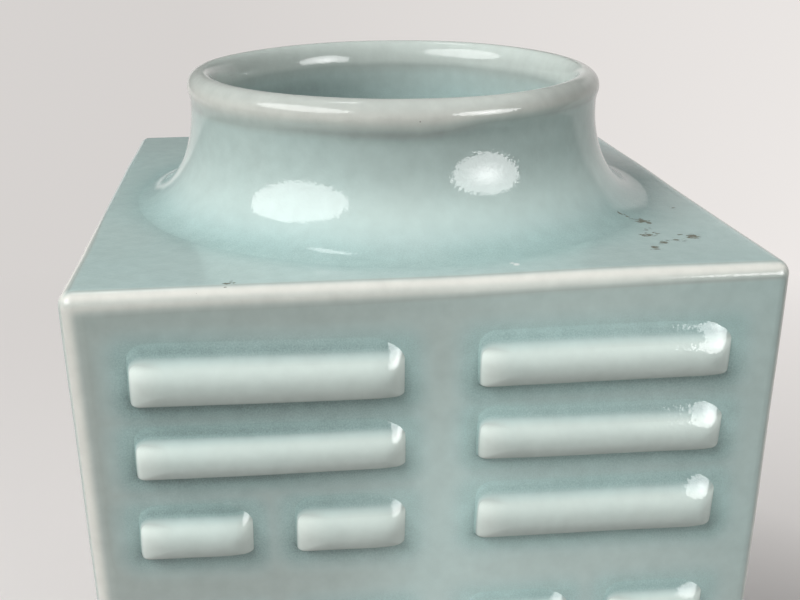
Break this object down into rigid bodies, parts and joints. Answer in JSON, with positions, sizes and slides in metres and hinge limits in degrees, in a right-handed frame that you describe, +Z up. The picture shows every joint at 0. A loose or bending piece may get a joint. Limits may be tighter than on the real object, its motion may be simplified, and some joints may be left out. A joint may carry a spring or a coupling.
{
  "type": "cong vase",
  "caption": "Square celadon vase with a short round neck, a round foot ring and raised trigram bars on its flat walls. It stands on its foot and holds water and stems.",
  "frame": {"origin": "middle of the foot rim's underside, on the surface that the vase stands on", "axes": "+Z up along the vase, -Y out of the front wall, +X to the right as seen from the front"},
  "size_m": [0.14, 0.14, 0.28],
  "materials": {
    "celadon_glaze": "pale blue-green celadon glaze, glossy, thin and whitish on edges, deeper where it pools"
  },
  "bodies": {
    "root": {"foot_ring": "celadon_glaze", "base_slab": "celadon_glaze", "shoulder_slab": "celadon_glaze", "neck_collar": "celadon_glaze", "front_wall": "celadon_glaze", "right_wall": "celadon_glaze", "back_wall": "celadon_glaze", "left_wall": "celadon_glaze", "front_right_seam_coil": "celadon_glaze", "back_right_seam_coil": "celadon_glaze", "back_left_seam_coil": "celadon_glaze", "front_left_seam_coil": "celadon_glaze", "front_heaven_trigram": "celadon_glaze", "front_lake_trigram": "celadon_glaze", "front_fire_trigram": "celadon_glaze", "front_thunder_trigram": "celadon_glaze", "front_wind_trigram": "celadon_glaze", "front_water_trigram": "celadon_glaze", "front_mountain_trigram": "celadon_glaze", "front_earth_trigram": "celadon_glaze", "right_heaven_trigram": "celadon_glaze", "right_lake_trigram": "celadon_glaze", "right_fire_trigram": "celadon_glaze", "right_thunder_trigram": "celadon_glaze", "right_wind_trigram": "celadon_glaze", "right_water_trigram": "celadon_glaze", "right_mountain_trigram": "celadon_glaze", "right_earth_trigram": "celadon_glaze", "back_heaven_trigram": "celadon_glaze", "back_lake_trigram": "celadon_glaze", "back_fire_trigram": "celadon_glaze", "back_thunder_trigram": "celadon_glaze", "back_wind_trigram": "celadon_glaze", "back_water_trigram": "celadon_glaze", "back_mountain_trigram": "celadon_glaze", "back_earth_trigram": "celadon_glaze", "left_heaven_trigram": "celadon_glaze", "left_lake_trigram": "celadon_glaze", "left_fire_trigram": "celadon_glaze", "left_thunder_trigram": "celadon_glaze", "left_wind_trigram": "celadon_glaze", "left_water_trigram": "celadon_glaze", "left_mountain_trigram": "celadon_glaze", "left_earth_trigram": "celadon_glaze"}
  },
  "joints": []
}
